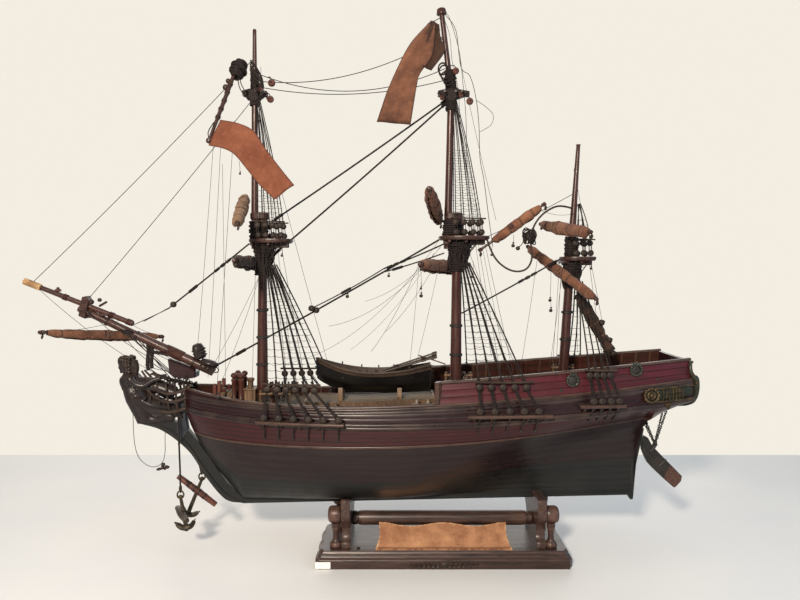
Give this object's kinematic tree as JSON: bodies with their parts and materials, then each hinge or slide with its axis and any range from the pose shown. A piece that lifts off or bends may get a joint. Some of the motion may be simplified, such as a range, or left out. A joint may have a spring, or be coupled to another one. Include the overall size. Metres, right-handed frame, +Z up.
{
  "type": "model sailing ship",
  "caption": "Three-masted model sailing ship with furled sails, loose flags, swinging yards, hinged rudder and hanging anchors, resting on a wooden cradle stand.",
  "frame": {"origin": "centre of the stand's underside", "axes": "+Z up, bow towards -X, port side towards -Y"},
  "size_m": [0.68, 0.1662, 0.5594],
  "materials": {
    "dark_wood": "satin varnish, worn",
    "hull_wood": "painted and varnished, aged",
    "deck_wood": "matt",
    "mast_wood": "satin varnish",
    "copper": "aged copper sheet",
    "rope": "tarred thread",
    "cloth": "faded linen",
    "iron": "dull bronze paint"
  },
  "bodies": {
    "stand": {"stand_board": "dark_wood", "stand_carving": "dark_wood", "name_plaque": "copper", "cradles": "dark_wood", "cradle_posts": "dark_wood", "cradle_rod": "dark_wood"},
    "ship": {"backbone": "hull_wood", "bow_line": "rope", "bow_line_block": "mast_wood", "bowsprit": "mast_wood", "bulwarks": "hull_wood", "cap_rails": "hull_wood", "channels": "dark_wood", "deadeyes": "dark_wood", "deck_fittings": "deck_wood", "decks": "deck_wood", "figurehead": "dark_wood", "fore_mast": "mast_wood", "head_rails": "dark_wood", "hull_body": "hull_wood", "jibboom": "mast_wood", "main_mast": "mast_wood", "mast_tops": "mast_wood", "mizzen_mast": "mast_wood", "quarter_galleries": "dark_wood", "rudder_chains": "iron", "shrouds": "rope", "slack_rope": "rope", "slack_rope_blocks": "mast_wood", "stays": "rope", "topmasts": "mast_wood", "transom": "hull_wood", "wales": "hull_wood"},
    "rudder": {"rudder": "hull_wood"},
    "port_anchor": {"port_anchor": "iron", "port_anchor_stock": "mast_wood"},
    "starboard_anchor": {"starboard_anchor": "iron", "starboard_anchor_stock": "mast_wood"},
    "longboat": {"longboat": "dark_wood", "oar_bundle": "mast_wood"},
    "fore_yard": {"fore_yard": "mast_wood", "fore_sail": "cloth"},
    "fore_topsail_yard": {"fore_topsail_yard": "mast_wood", "fore_topsail_sail": "cloth"},
    "fore_topgallant_yard": {"fore_topgallant_yard": "mast_wood", "fore_flag": "cloth"},
    "main_yard": {"main_yard": "mast_wood", "main_sail": "cloth"},
    "main_topsail_yard": {"main_topsail_yard": "mast_wood", "main_topsail_sail": "cloth"},
    "main_flag": {"main_flag": "cloth"},
    "main_gaff": {"main_gaff": "mast_wood", "main_spencer_sail": "cloth"},
    "mizzen_topsail_yard": {"mizzen_topsail_yard": "mast_wood", "mizzen_topsail_sail": "cloth"},
    "crossjack_yard": {"crossjack_yard": "mast_wood", "crossjack_sail": "cloth"},
    "spanker": {"spanker_sail": "cloth"},
    "spritsail_yard": {"spritsail_yard": "mast_wood", "spritsail_sail": "cloth"}
  },
  "joints": [
    {"name": "ship_lift", "type": "slide", "parent": "stand", "child": "ship", "axis": [0, 0, 1], "range_m": [0, 0.12]},
    {"name": "boat_lift", "type": "slide", "parent": "ship", "child": "longboat", "axis": [0, 0, 1], "range_m": [0, 0.022]},
    {"name": "rudder_hinge", "type": "hinge", "parent": "ship", "child": "rudder", "pos_m": [0.206, 0, 0.122], "axis": [0, -1, 0], "range_deg": [0, 25]},
    {"name": "port_anchor_swing", "type": "hinge", "parent": "ship", "child": "port_anchor", "pos_m": [-0.2693, -0.011, 0.117], "axis": [0, 1, 0], "range_deg": [-12, 12]},
    {"name": "starboard_anchor_swing", "type": "hinge", "parent": "ship", "child": "starboard_anchor", "pos_m": [-0.2559, 0.012, 0.091], "axis": [0, 1, 0], "range_deg": [-12, 12]},
    {"name": "fore_yard_brace", "type": "hinge", "parent": "ship", "child": "fore_yard", "pos_m": [-0.1842, 0, 0.303], "axis": [0, 0, 1], "range_deg": [-8, 8]},
    {"name": "fore_topsail_brace", "type": "hinge", "parent": "ship", "child": "fore_topsail_yard", "pos_m": [-0.1912, 0, 0.357], "axis": [0, 0, 1], "range_deg": [-8, 8]},
    {"name": "fore_topgallant_swing", "type": "hinge", "parent": "ship", "child": "fore_topgallant_yard", "pos_m": [-0.1909, 0, 0.505], "axis": [0, 0, 1], "range_deg": [-8, 8]},
    {"name": "main_yard_brace", "type": "hinge", "parent": "ship", "child": "main_yard", "pos_m": [0.0147, 0, 0.299], "axis": [0, 0, 1], "range_deg": [-8, 8]},
    {"name": "main_topsail_brace", "type": "hinge", "parent": "ship", "child": "main_topsail_yard", "pos_m": [0.0056, 0, 0.358], "axis": [0, 0, 1], "range_deg": [-8, 8]},
    {"name": "main_flag_swing", "type": "hinge", "parent": "ship", "child": "main_flag", "pos_m": [0.0015, 0, 0.52], "axis": [0, 0, 1], "range_deg": [0, 25]},
    {"name": "main_gaff_swing", "type": "hinge", "parent": "ship", "child": "main_gaff", "pos_m": [0.0147, 0, 0.313], "axis": [0, 0, 1], "range_deg": [0, 6]},
    {"name": "mizzen_topsail_brace", "type": "hinge", "parent": "ship", "child": "mizzen_topsail_yard", "pos_m": [0.1335, 0, 0.338], "axis": [0, 0, 1], "range_deg": [-8, 8]},
    {"name": "crossjack_brace", "type": "hinge", "parent": "ship", "child": "crossjack_yard", "pos_m": [0.1312, 0, 0.294], "axis": [0, 0, 1], "range_deg": [-6, 6]},
    {"name": "spanker_swing", "type": "hinge", "parent": "ship", "child": "spanker", "pos_m": [0.1305, 0, 0.26], "axis": [0, 0, 1], "range_deg": [-8, 8]},
    {"name": "spritsail_brace", "type": "hinge", "parent": "ship", "child": "spritsail_yard", "pos_m": [-0.34, 0, 0.229], "axis": [0, 0, 1], "range_deg": [-8, 8]}
  ]
}
